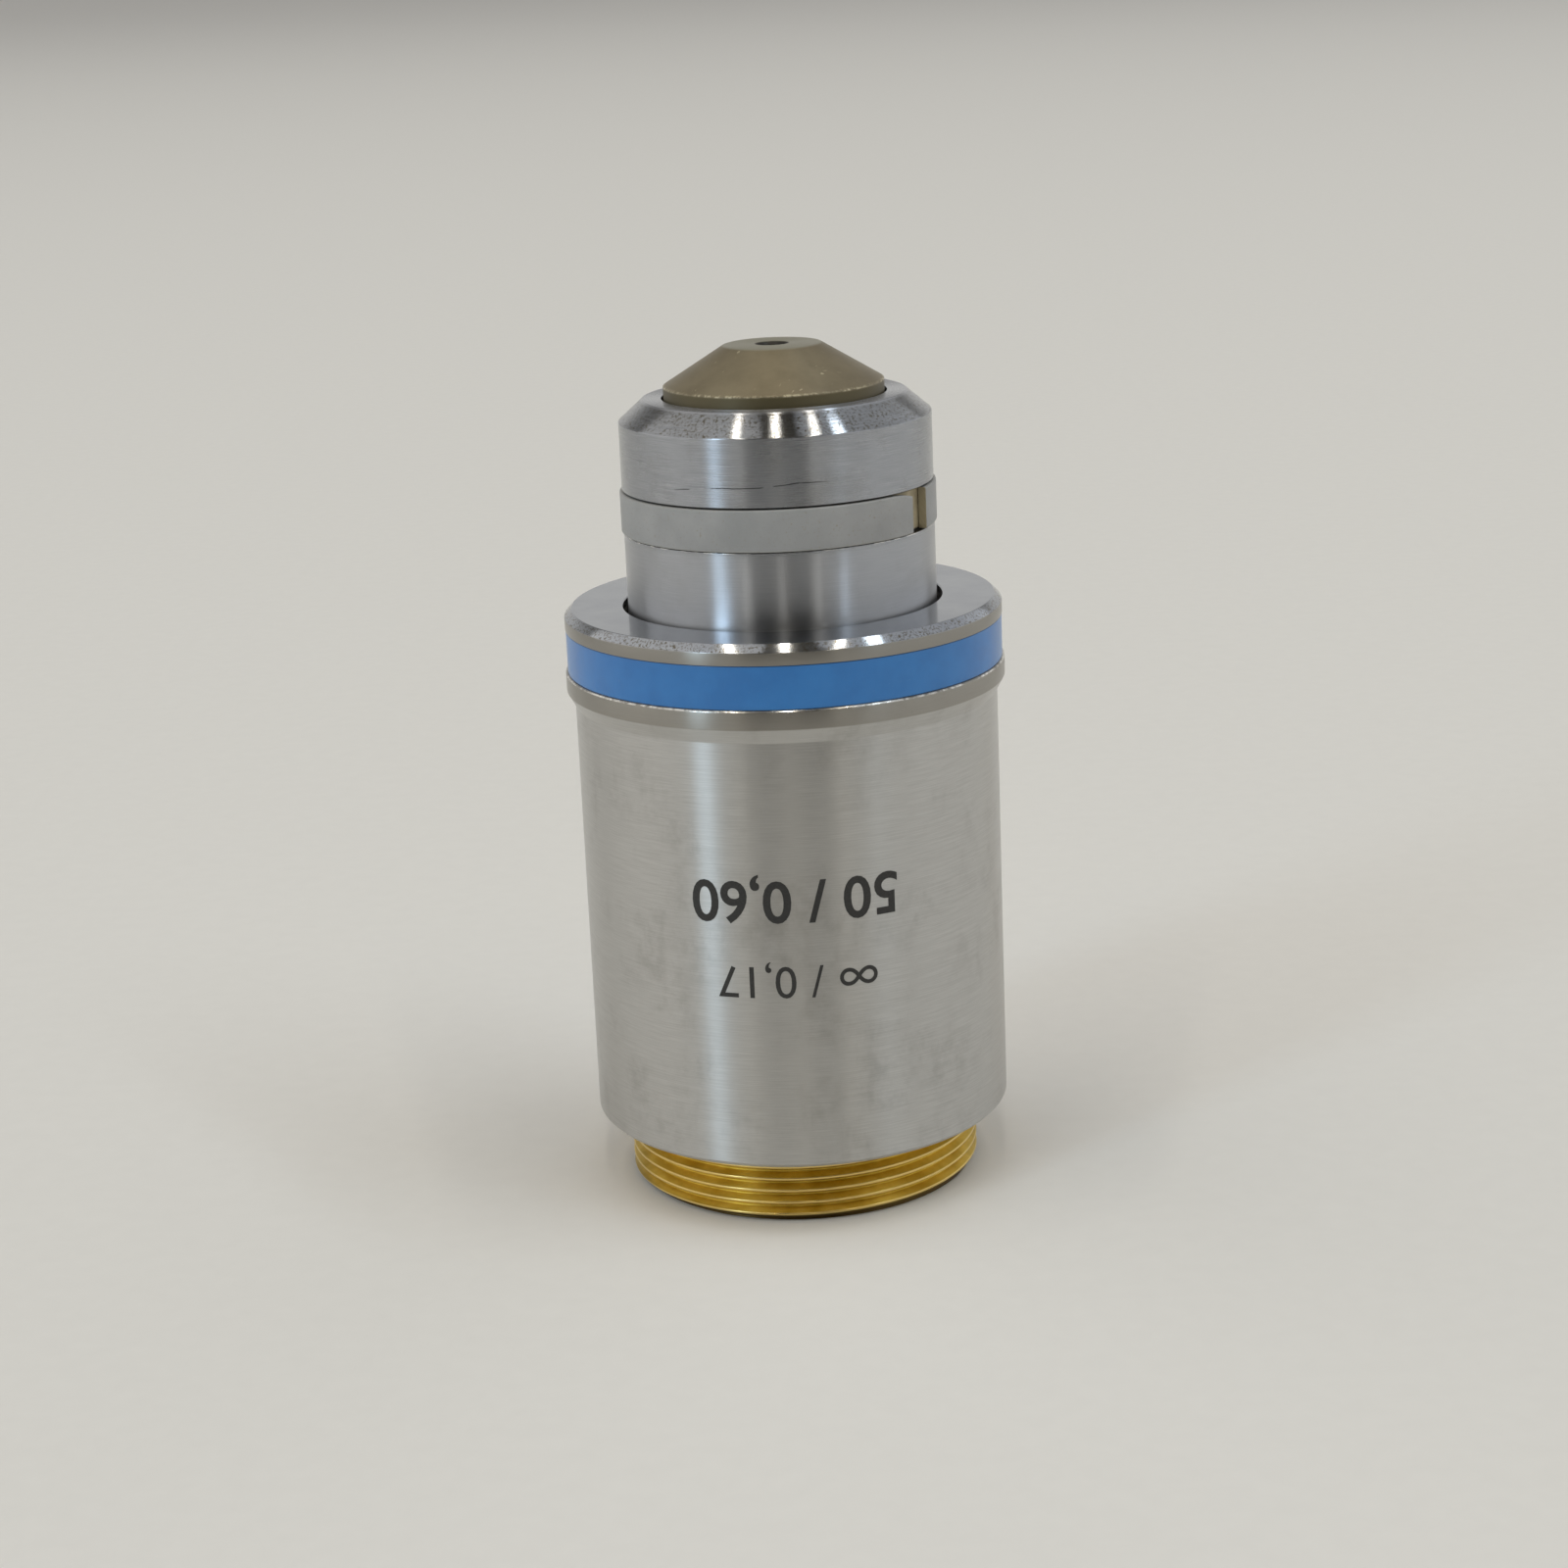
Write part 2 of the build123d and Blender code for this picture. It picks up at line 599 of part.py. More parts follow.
def rear_doublet():
    """Thick rear doublet, hollow towards the eye, which flattens the image."""
    rear_z = RETAINING_RING_TOP_Z + REAR_LEDGE
    joint_z = rear_z + REAR_REAR_EDGE
    front_z = joint_z + REAR_FRONT_EDGE
    surfaces = [
        (rear_z, REAR_HOLLOW_SAG),
        (joint_z, REAR_JOINT_SAG),
        (front_z, REAR_FRONT_SAG),
    ]
    return cemented(REAR_LENS_R, surfaces)


def retaining_ring():
    """Threaded ring that holds the stack in the lens tube, slotted for a spanner."""
    inner = CELL_R - RETAINING_RING_WALL
    ring = tube(CELL_R, inner, RETAINING_RING_Z, RETAINING_RING_TOP_Z)
    return ring - spanner_slots(CELL_R, RETAINING_RING_Z, SPANNER_SLOT_DEPTH)


def build_nodes():
    """Every piece under the name of its node."""
    doublet_glasses = doublet()
    triplet_glasses = triplet()
    rear_glasses = rear_doublet()
    spacer_bore = CELL_R - SPACER_WALL
    screw_tip = CENTRING_CELL_R + CEMENT_FILM
    screw_end = GROOVE_R - CENTRING_SCREW_SINK
    return {
        "mounting_thread": mounting_thread(),
        "outer_sleeve": outer_sleeve(),
        "colour_ring": colour_ring(),
        "front_ring": front_ring(),
        "guide_tube": guide_tube(),
        "stop_ring": stop_ring(),
        "lock_ring": lock_ring(),
        "spring_washer": spring_washer(),
        "return_spring": return_spring(),
        "guide_screw": guide_screw(),
        "nose_barrel": nose_barrel(),
        "split_ring": split_ring(),
        "centring_screws": Compound(
            centring_screws(CENTRING_SCREW_D / 2, screw_tip, screw_end)
        ),
        "lens_tube": lens_tube(),
        "front_lens_mount": front_lens_mount(),
        "front_lens": front_lens(),
        "centring_cell": lens_cell(
            CENTRING_CELL_R, MENISCUS_R, MENISCUS_LEDGE, DOUBLET_CELL_TOP_Z, CENTRING_CELL_TOP_Z
        ),
        "meniscus_lens": meniscus_lens(),
        "doublet_cell": lens_cell(
            CELL_R, DOUBLET_R, DOUBLET_LEDGE, SPACER_RING_TOP_Z, DOUBLET_CELL_TOP_Z
        ),
        "doublet_rear_lens": doublet_glasses[0],
        "doublet_front_lens": doublet_glasses[1],
        "spacer_ring": tube(CELL_R, spacer_bore, TRIPLET_CELL_TOP_Z, SPACER_RING_TOP_Z),
        "triplet_cell": lens_cell(
            CELL_R, TRIPLET_R, TRIPLET_LEDGE, SPACER_TUBE_TOP_Z, TRIPLET_CELL_TOP_Z
        ),
        "triplet_rear_lens": triplet_glasses[0],
        "triplet_centre_lens": triplet_glasses[1],
        "triplet_front_lens": triplet_glasses[2],
        "spacer_tube": tube(CELL_R, spacer_bore, REAR_CELL_TOP_Z, SPACER_TUBE_TOP_Z),
        "rear_cell": lens_cell(
            CELL_R, REAR_LENS_R, REAR_LEDGE, RETAINING_RING_TOP_Z, REAR_CELL_TOP_Z
        ),
        "rear_doublet_rear_lens": rear_glasses[0],
        "rear_doublet_front_lens": rear_glasses[1],
        "retaining_ring": retaining_ring(),
    }


os.makedirs("parts", exist_ok=True)
for node, shape in build_nodes().items():
    export_step(shape, f"parts/{node}.step")
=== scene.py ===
from math import atan2, cos, degrees, hypot, pi, radians, sin

import bpy
from mathutils import Matrix, Quaternion, Vector


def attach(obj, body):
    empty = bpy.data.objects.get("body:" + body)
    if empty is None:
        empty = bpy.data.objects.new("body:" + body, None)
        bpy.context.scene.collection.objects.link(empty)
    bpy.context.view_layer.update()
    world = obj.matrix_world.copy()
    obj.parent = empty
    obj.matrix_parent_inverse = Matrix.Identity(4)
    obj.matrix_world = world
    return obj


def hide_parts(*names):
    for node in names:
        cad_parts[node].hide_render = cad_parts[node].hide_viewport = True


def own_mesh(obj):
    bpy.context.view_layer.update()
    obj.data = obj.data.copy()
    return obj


# A microscope objective with a spring-loaded nose, standing on its thread with the front lens up.
# The optical axis is Z, -Y faces the viewer. Sizes are in millimetres, the scene is in metres.
MM = 0.001
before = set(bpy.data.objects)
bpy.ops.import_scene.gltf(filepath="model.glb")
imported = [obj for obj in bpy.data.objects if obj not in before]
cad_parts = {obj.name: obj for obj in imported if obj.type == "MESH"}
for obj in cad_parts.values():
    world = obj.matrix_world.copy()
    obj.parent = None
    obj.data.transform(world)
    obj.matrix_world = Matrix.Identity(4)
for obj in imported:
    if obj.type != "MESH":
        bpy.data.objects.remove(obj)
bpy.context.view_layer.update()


# The connector is turned from brass and gilded. Its outside carries the standard thread for
# objectives, 36 turns to the inch, cut on a lathe; a relief behind the thread lets the nosepiece
# reach the casing. Its flange rests on the casing's lip, and its bore lets the light through.

CREST_R = 10.16
PITCH = 25.4 / 36
THREAD_DEPTH = 0.64 * PITCH
CREST_ROUNDING = 0.035
FRONT_CREST_Z = 1.90
THREAD_TOP_Z = 3.5
END_R = 9.76
STEPS = 192


def draw_section(name, corners, azimuth=0.0, closed=True):
    """Draws a section, as (radius, height) corners, in the half plane at an angle from +X."""
    bpy.ops.object.select_all(action="DESELECT")
    bpy.ops.mesh.primitive_plane_add(size=MM)
    piece = bpy.context.object
    piece.name = piece.data.name = name
    places = [Vector((r * cos(azimuth), r * sin(azimuth), z)) * MM for r, z in corners]
    bpy.ops.object.mode_set(mode="EDIT")
    bpy.ops.mesh.select_mode(type="VERT")
    bpy.ops.mesh.merge(type="CENTER")
    bpy.ops.transform.translate(value=places[0])
    ends = places[1:] + places[:1] if closed else places[1:]
    for start, end in zip(places, ends):
        bpy.ops.mesh.extrude_vertices_move(TRANSFORM_OT_translate={"value": end - start})
    bpy.ops.mesh.select_all(action="SELECT")
    bpy.ops.mesh.remove_doubles(threshold=1e-6)
    return piece


def pick(piece, wanted):
    """Selects the points whose radius and height are wanted, in edit mode."""
    bpy.ops.mesh.select_mode(type="VERT")
    bpy.ops.mesh.select_all(action="DESELECT")
    bpy.ops.object.mode_set(mode="OBJECT")
    for point in piece.data.vertices:
        x, y, z = point.co / MM
        point.select = wanted(hypot(x, y), z)
    bpy.ops.object.mode_set(mode="EDIT")
    bpy.ops.mesh.select_mode(type="VERT")


def round_corners(piece, rounding, corners, segments=3):
    """Rounds some corners of a drawn section, given by their (radius, height)."""
    pick(piece, lambda r, z: any(hypot(r - a, z - b) < 0.003 for a, b in corners))
    bpy.ops.mesh.bevel(offset=rounding * MM, segments=segments, affect="VERTICES")


def spin_section(steps=STEPS, turn=360.0):
    """Spins the drawn section about the optical axis and closes the seam."""
    bpy.ops.mesh.select_all(action="SELECT")
    bpy.ops.mesh.spin(steps=steps, angle=radians(turn), center=(0, 0, 0), axis=(0, 0, 1))
    bpy.ops.mesh.select_all(action="SELECT")
    bpy.ops.mesh.remove_doubles(threshold=1e-6)
    bpy.ops.mesh.normals_make_consistent(inside=False)
    bpy.ops.object.mode_set(mode="OBJECT")


def smooth(piece):
    """Shades a turned piece smooth, with the roundings taking up the turn at its edges."""
    bpy.ops.object.select_all(action="DESELECT")
    piece.select_set(True)
    bpy.context.view_layer.objects.active = piece
    bpy.ops.object.shade_smooth_by_angle(angle=radians(40))
    bpy.ops.object.modifier_add(type="WEIGHTED_NORMAL")
    piece.modifiers[-1].keep_sharp = True
    bpy.ops.object.modifier_apply(modifier=piece.modifiers[-1].name)


def cut_thread():
    """The thread's skin: one tooth's outline, wound up the axis, then cut off at both ends."""
    root_r = CREST_R - THREAD_DEPTH
    start_z = FRONT_CREST_Z + PITCH / 4 - 4 * PITCH
    half, flat = PITCH / 2, PITCH / 12
    tooth = [(root_r, start_z - half), (root_r, start_z - half + flat), (CREST_R, start_z - flat)]
    tooth += [(CREST_R, start_z + flat), (root_r, start_z + half - flat), (root_r, start_z + half)]
    skin = draw_section("thread_skin", tooth, closed=False)
    round_corners(skin, CREST_ROUNDING, tooth[1:5])
    bpy.ops.object.mode_set(mode="OBJECT")
    bpy.ops.object.modifier_add(type="SCREW")
    winding = skin.modifiers[-1]
    winding.angle = 2 * pi
    winding.steps = winding.render_steps = STEPS
    winding.screw_offset = PITCH * MM
    winding.iterations = 9
    bpy.ops.object.modifier_apply(modifier=winding.name)
    bpy.ops.object.mode_set(mode="EDIT")
    bpy.ops.mesh.select_all(action="SELECT")
    bpy.ops.mesh.remove_doubles(threshold=1e-6)
    for height, clear_below, clear_above in (
        (0, True, False),
        (THREAD_TOP_Z, False, True),
        (0.2, False, False),
        (0.4, False, False),
    ):
        bpy.ops.mesh.select_all(action="SELECT")
        bpy.ops.mesh.bisect(
            plane_co=(0, 0, height * MM),
            plane_no=(0, 0, 1),
            clear_inner=clear_below,
            clear_outer=clear_above,
            threshold=1e-7,
        )
    bpy.ops.object.mode_set(mode="OBJECT")
    for point in skin.data.vertices:
        r = hypot(point.co.x, point.co.y) / MM
        inward = min(r, END_R + point.co.z / MM) / r
        point.co.x *= inward
        point.co.y *= inward
    return skin


def bridge_step(piece, height):
    """Closes the flat step between the two open rings at one height."""
    bpy.ops.object.mode_set(mode="EDIT")
    bpy.ops.mesh.select_mode(type="EDGE")
    bpy.ops.mesh.select_all(action="DESELECT")
    bpy.ops.mesh.select_non_manifold(use_wire=False, use_multi_face=False, use_non_contiguous=False)
    bpy.ops.object.mode_set(mode="OBJECT")
    points = piece.data.vertices
    for edge in piece.data.edges:
        level = all(abs(points[i].co.z / MM - height) < 0.001 for i in edge.vertices)
        edge.select = edge.select and level
    bpy.ops.object.mode_set(mode="EDIT")
    bpy.ops.mesh.bridge_edge_loops()
    bpy.ops.object.mode_set(mode="OBJECT")


thread_skin = cut_thread()
connector_section = [
    (8.7, 0),
    (8.2, 0.5),
    (8.2, 7.5),
    (10.65, 7.5),
    (10.65, 5.5),
    (10.30, 5.5),
    (10.30, 4.0),
    (9.66, 4.0),
    (9.66, THREAD_TOP_Z),
]
connector = draw_section("threaded_connector", connector_section, closed=False)
round_corners(connector, 0.05, [(8.2, 0.5), (10.65, 7.5)])
spin_section()
thread_skin.select_set(True)
connector.select_set(True)
bpy.context.view_layer.objects.active = connector
bpy.ops.object.join()
bridge_step(connector, 0)
bridge_step(connector, THREAD_TOP_Z)
bpy.ops.object.mode_set(mode="EDIT")
bpy.ops.mesh.select_all(action="SELECT")
bpy.ops.mesh.normals_make_consistent(inside=False)
bpy.ops.object.mode_set(mode="OBJECT")
smooth(connector)


class Wire:
    """One output of a shader node. Sums written with it add Math nodes to the finish."""

    def __init__(self, tree, socket):
        self.tree = tree
        self.socket = socket

    def node(self, kind, settings=None, inputs=None, output=0):
        """Adds any node: its settings are set first, then its inputs, from values or wires."""
        made = self.tree.nodes.new(kind)
        for key, value in (settings or {}).items():
            if key == "stops":
                stops = made.color_ramp.elements
                while len(stops) < len(value):
                    stops.new(0.5)
                for stop, (position, colour) in zip(stops, value):
                    stop.position = position
                    stop.color = colour
            else:
                setattr(made, key, value)
        for key, value in (inputs or {}).items():
            if isinstance(value, Wire):
                self.tree.links.new(value.socket, made.inputs[key])
            else:
                made.inputs[key].default_value = value
        return Wire(self.tree, made.outputs[output]) if made.outputs else None

    def beside(self, name):
        """Another output of the same node."""
        return Wire(self.tree, self.socket.node.outputs[name])

    def math(self, operation, *values):
        inputs = dict(enumerate((self, *values)))
        return self.node("ShaderNodeMath", {"operation": operation}, inputs)

    def __add__(self, other):
        return self.math("ADD", other)

    def __mul__(self, other):
        return self.math("MULTIPLY", other)

    def __sub__(self, other):
        return self.math("SUBTRACT", other)

    def __rsub__(self, other):
        return (self * -1.0).math("ADD", other)

    def __truediv__(self, other):
        return self.math("DIVIDE", other)

    __radd__ = __add__

    def spread(self, low, high, to_low=0.0, to_high=1.0):
        """Stretches a range of the value over another range, and holds it at the ends."""
        inputs = {"Value": self, "From Min": low, "From Max": high}
        inputs.update({"To Min": to_low, "To Max": to_high})
        return self.node("ShaderNodeMapRange", {"clamp": True}, inputs)

    def mix(self, first, second):
        """A colour between two others, with the value as the share of the second."""
        inputs = {0: self, 6: first, 7: second}
        return self.node("ShaderNodeMix", {"data_type": "RGBA", "clamp_factor": True}, inputs, 2)


def tone(red, green, blue):
    """A colour given as 0 to 255 on a screen."""
    parts = [value / 255 for value in (red, green, blue)]
    return (*[v / 12.92 if v < 0.04045 else ((v + 0.055) / 1.055) ** 2.4 for v in parts], 1.0)


def new_finish(name):
    """An empty finish, with the place on the piece as its first wire."""
    finish = bpy.data.materials.new(name)
    finish.use_nodes = True
    finish.node_tree.nodes.clear()
    coordinates = finish.node_tree.nodes.new("ShaderNodeTexCoord")
    return finish, Wire(finish.node_tree, coordinates.outputs["Object"])


def round_axis(place):
    """The sideways distances, the height and the radius of a place, in millimetres."""
    scaled = place.node("ShaderNodeVectorMath", {"operation": "SCALE"}, {0: place, "Scale": 1 / MM})
    x = place.node("ShaderNodeSeparateXYZ", inputs={"Vector": scaled})
    y, z = x.beside("Y"), x.beside("Z")
    return x, y, z, (x * x + y * y).math("SQRT")


def blotches(place, across, detail=4.0, sharpness=0.55):
    """Soft patches about so many millimetres across, from 0 to 1."""
    inputs = {"Vector": place, "Scale": 1 / (across * MM), "Detail": detail, "Roughness": sharpness}
    return place.node("ShaderNodeTexNoise", inputs=inputs)


def turning_lines(place, spacing, run=2.0, detail=4.0):
    """Fine lines round the axis, as the lathe leaves them, so many millimetres apart."""
    x, y, z, r = round_axis(place)
    across = (z + r * 1.3) / spacing
    drawn = place.node("ShaderNodeCombineXYZ", inputs={0: x / r * run, 1: y / r * run, 2: across})
    inputs = {"Vector": drawn, "Scale": 1.0, "Detail": detail, "Roughness": 0.6}
    return place.node("ShaderNodeTexNoise", inputs=inputs)


def bump(height, depth, under=None):
    """Relief of so many millimetres from a height of 0 to 1."""
    inputs = {"Strength": 1.0, "Distance": depth * MM, "Height": height}
    if under is not None:
        inputs["Normal"] = under
    return height.node("ShaderNodeBump", inputs=inputs)


def close_finish(place, **inputs):
    """Ends a finish with its shader."""
    named = {key.replace("_", " "): value for key, value in inputs.items()}
    shader = place.node("ShaderNodeBsdfPrincipled", inputs=named)
    place.node("ShaderNodeOutputMaterial", inputs={"Surface": shader})


def hand_over(piece, body, slot, *nodes):
    """Puts a finished piece on its body, in the place of its nodes."""
    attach(piece, body)
    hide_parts(*nodes)


gilding, place = new_finish("gilded_brass")
z, r = round_axis(place)[2:]
lines = turning_lines(place, 0.05)
stain = blotches(place, 1.4)
# Painted highlight: the thread's crests are a paler gold, as thin lines of light along them.
crest = r.spread(10.10, 10.15)
# Painted shade: the lowest half millimetre of the thread, its end chamfer where it meets the floor,
# is darkened as a contact shadow.
foot = z.spread(0.15, 0.55)
yellow = stain.spread(0.35, 0.65).mix(tone(196, 162, 60), tone(220, 188, 84))
yellow = crest.mix(yellow, tone(232, 204, 128))
yellow = foot.mix(tone(92, 76, 46), yellow)
close_finish(
    place,
    Base_Color=yellow,
    Metallic=1.0,
    Roughness=lines * 0.16 + stain * 0.12 + 0.24 - crest * 0.08,
    Anisotropic=0.8,
    Anisotropic_Rotation=0.25,
    Normal=bump(lines, 0.004),
)
connector.data.materials.append(gilding)
hand_over(connector, "housing", "thread_brass", "mounting_thread")


# The casing is turned from steel, satin finished with fine abrasive and plated. Its body is plain,
# flares to a rim under the colour ring, and ends in a thin spigot that carries that ring. Handling
# has left faint stains and small specks on it.

CASING_Z = 4.0
CASING_R = 12.0
FLARE_Z = 28.35
RIM_R = 12.45
RIM_Z = 29.16
RIM_TOP_Z = 30.22
casing_section = [
    (10.34, CASING_Z),
    (11.75, CASING_Z),
    (CASING_R, 4.25),
    (CASING_R, FLARE_Z),
    (RIM_R, RIM_Z),
    (RIM_R, 30.14),
    (12.37, RIM_TOP_Z),
    (11.35, RIM_TOP_Z),
    (11.35, 32.6),
    (10.69, 32.6),
    (10.69, 5.5),
    (10.34, 5.5),
]
casing = draw_section("satin_casing", casing_section)
edges = [(11.75, CASING_Z), (CASING_R, 4.25), (12.37, RIM_TOP_Z), (RIM_R, 30.14)]
round_corners(casing, 0.04, edges)
round_corners(casing, 0.05, [(CASING_R, FLARE_Z), (RIM_R, RIM_Z)])
spin_section(256)
smooth(casing)

satin, place = new_finish("satin_steel")
z = round_axis(place)[2]
lines = turning_lines(place, 0.035, 6.0, 6.0)
coarse = turning_lines(place, 0.16, 3.0)
stain = blotches(place, 4.5, 5.0, 0.62)
smear = blotches(place, 1.1, 6.0, 0.7)
stained = stain.spread(0.46, 0.64) * smear.spread(0.40, 0.62)
specks = blotches(place, 0.22, 3.0, 0.7).spread(0.70, 0.76) * z.spread(26.0, 29.5)
# Painted highlight: broken bright glints along the rim's top edge, just under the colour ring.
painted_glint = (z - 30.17).math("ABSOLUTE").spread(0.07, 0.02) * smear.spread(0.46, 0.56)
rim = z.spread(29.12, 29.18)
grey = lines.spread(0.3, 0.7).mix(tone(178, 177, 174), tone(198, 197, 194))
grey = (stained * 0.24).mix(grey, tone(132, 128, 121))
grey = (rim * 0.8).mix(grey, tone(146, 142, 134))
grey = (specks * 0.6).mix(grey, tone(88, 84, 76))
grey = painted_glint.mix(grey, tone(240, 238, 232))
close_finish(
    place,
    Base_Color=grey,
    Metallic=1.0,
    Roughness=lines * 0.08 + stained * 0.05 + coarse * 0.05 + 0.24 - painted_glint * 0.1,
    Anisotropic=0.97,
    Anisotropic_Rotation=0.25,
    Normal=bump(lines, 0.0016, bump(coarse, 0.0012)),
)
casing.data.materials.append(satin)
hand_over(casing, "housing", "satin_steel", "outer_sleeve")


# The casing's marks are printed in black, upside down while the objective stands on its thread.
# They are plain numbers: the magnification with the aperture, and the cover glass.

MARK_FILM = 0.012
STRIP = 0.3
STRIPS_EACH_WAY = 30


def print_mark(name, words, size, weight, middle_z):
    """Prints one line on the front of the casing, as a thin film that follows its curve."""
    bpy.ops.object.select_all(action="DESELECT")
    bpy.ops.object.text_add()
    mark = bpy.context.object
    mark.name = mark.data.name = name
    mark.data.body = words
    mark.data.align_x = mark.data.align_y = "CENTER"
    mark.data.size = size * MM
    mark.data.extrude = MARK_FILM * MM
    mark.data.offset = weight * MM
    mark.data.resolution_u = 5
    bpy.ops.object.convert(target="MESH")
    mark.rotation_euler = (0, 0, pi)
    bpy.ops.object.transform_apply(location=False, rotation=True, scale=False)
    bpy.ops.object.mode_set(mode="EDIT")
    bpy.ops.mesh.select_all(action="SELECT")
    bpy.ops.mesh.remove_doubles(threshold=1e-7)
    for cut in range(-STRIPS_EACH_WAY, STRIPS_EACH_WAY + 1):
        bpy.ops.mesh.select_all(action="SELECT")
        bpy.ops.mesh.bisect(plane_co=(cut * STRIP * MM, 0, 0), plane_no=(1, 0, 0), threshold=1e-7)
    bpy.ops.mesh.select_all(action="SELECT")
    bpy.ops.mesh.normals_make_consistent(inside=False)
    bpy.ops.object.mode_set(mode="OBJECT")
    for point in mark.data.vertices:
        across, up, out = point.co / MM
        turn, r = across / CASING_R, CASING_R + out
        point.co = Vector((r * sin(turn), -r * cos(turn), middle_z + up)) * MM
    return mark


black, place = new_finish("mark_black")
worn = blotches(place, 0.12, 3.0, 0.7)
ink = worn.spread(0.4, 0.7).mix(tone(34, 33, 32), tone(48, 47, 45))
ink = worn.spread(0.72, 0.78).mix(ink, tone(120, 118, 114))
close_finish(place, Base_Color=ink, Roughness=worn * 0.2 + 0.4, Normal=bump(worn, 0.001))
for name, words, size, weight, middle_z in (
    ("mark_power", "50 / 0,60", 3.3, 0.05, 19.6),
    ("mark_cover_glass", "\u221e / 0,17", 2.6, 0.0, 15.0),
):
    mark = print_mark(name, words, size, weight, middle_z)
    mark.data.materials.append(black)
    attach(mark, "housing")


# Inside the casing a brass guide tube stands on the connector's flange, with a flat washer and the
# square-wire return spring in it. The stop ring and the lock ring screw into its front, and the
# guide screw's point keeps the nose from turning. They show only when it is taken apart.

inner_brass, place = new_finish("turned_inner_brass")
lines = turning_lines(place, 0.06)
stain = blotches(place, 2.0)
yellow = stain.spread(0.35, 0.65).mix(tone(178, 146, 86), tone(206, 178, 114))
close_finish(
    place,
    Base_Color=yellow,
    Metallic=1.0,
    Roughness=lines * 0.15 + 0.24,
    Anisotropic=0.4,
    Anisotropic_Rotation=0.25,
    Normal=bump(lines, 0.002),
)

drawn_steel, place = new_finish("drawn_spring_steel")
lines = turning_lines(place, 0.04)
stain = blotches(place, 0.8)
grey = stain.spread(0.3, 0.7).mix(tone(150, 150, 152), tone(186, 187, 190))
close_finish(
    place,
    Base_Color=grey,
    Metallic=1.0,
    Roughness=stain * 0.2 + 0.2,
    Normal=bump(lines, 0.001),
)


def dress(finish, *names):
    """Gives nodes that keep their shape a finish."""
    for name in names:
        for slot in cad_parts[name].material_slots:
            slot.material = finish


dress(inner_brass, "guide_tube", "stop_ring", "lock_ring", "lens_tube")
dress(drawn_steel, "spring_washer", "guide_screw", "centring_screws")


# The return spring is wound from square wire, with a closed turn at each end, and is ground flat
# there, so that it stands square on its washer. It shortens as the nose is pressed in.

SPRING_Z = 7.9
SPRING_TOP_Z = 17.0
COIL_R = 8.85
WIRE_SIZE = 0.7
TURN_GAP = 0.01
GROUND_OFF = 0.2
OPEN_TURNS = 5
LOOSE_PITCH = 2.0


def wound_height(turn):
    """The height of the wire's middle after so many turns."""
    open_height = SPRING_TOP_Z - SPRING_Z - 3 * WIRE_SIZE + 2 * GROUND_OFF
    closed_turns = min(turn, 1) + max(turn - 1 - OPEN_TURNS, 0)
    opened = min(max((turn - 1) / OPEN_TURNS, 0), 1)
    start = SPRING_Z + WIRE_SIZE / 2 - GROUND_OFF
    return start + WIRE_SIZE * closed_turns + open_height * opened


half = WIRE_SIZE / 2
half_height = half - TURN_GAP / 2
wire_section = [
    (COIL_R - half, -half_height),
    (COIL_R + half, -half_height),
    (COIL_R + half, half_height),
    (COIL_R - half, half_height),
]
coil = draw_section("return_coil", wire_section)
round_corners(coil, 0.06, wire_section, 2)
bpy.ops.object.mode_set(mode="OBJECT")
bpy.ops.object.modifier_add(type="SCREW")
winding = coil.modifiers[-1]
winding.angle = 2 * pi
winding.steps = winding.render_steps = 64
winding.screw_offset = LOOSE_PITCH * MM
winding.iterations = OPEN_TURNS + 2
bpy.ops.object.modifier_apply(modifier=winding.name)
for point in coil.data.vertices:
    height = point.co.z / MM
    part = atan2(point.co.y, point.co.x) / (2 * pi) % 1
    turn = round(height / LOOSE_PITCH - part) + part
    point.co.z = (wound_height(turn) + height - LOOSE_PITCH * turn) * MM
bpy.ops.object.mode_set(mode="EDIT")
bpy.ops.mesh.select_all(action="SELECT")
bpy.ops.mesh.fill_holes(sides=0)
for height, at_top in ((SPRING_Z, False), (SPRING_TOP_Z, True)):
    bpy.ops.mesh.select_all(action="SELECT")
    bpy.ops.mesh.bisect(
        plane_co=(0, 0, height * MM),
        plane_no=(0, 0, 1),
        use_fill=True,
        clear_inner=not at_top,
        clear_outer=at_top,
        threshold=1e-7,
    )
bpy.ops.mesh.select_all(action="SELECT")
bpy.ops.mesh.normals_make_consistent(inside=False)
bpy.ops.object.mode_set(mode="OBJECT")
smooth(coil)
coil.data.materials.append(drawn_steel)
hand_over(coil, "housing", "spring_steel", "return_spring")
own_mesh(coil)


# The lens stack slides into the lens tube: brass cells that carry the cemented glasses, black
# spacers between them, and a slotted black ring at the rear that is seen from below. The glasses
# are polished and coated, with a trace of dust.

dress(inner_brass, "centring_cell", "doublet_cell", "triplet_cell", "rear_cell")

anodised, place = new_finish("black_anodised")
lines = turning_lines(place, 0.08)
stain = blotches(place, 0.9)
black = stain.spread(0.3, 0.7).mix(tone(26, 26, 28), tone(40, 40, 42))
close_finish(
    place,
    Base_Color=black,
    Metallic=0.3,
    Roughness=lines * 0.2 + 0.42,
    Normal=bump(lines, 0.003),
)
dress(anodised, "spacer_ring", "spacer_tube", "retaining_ring")

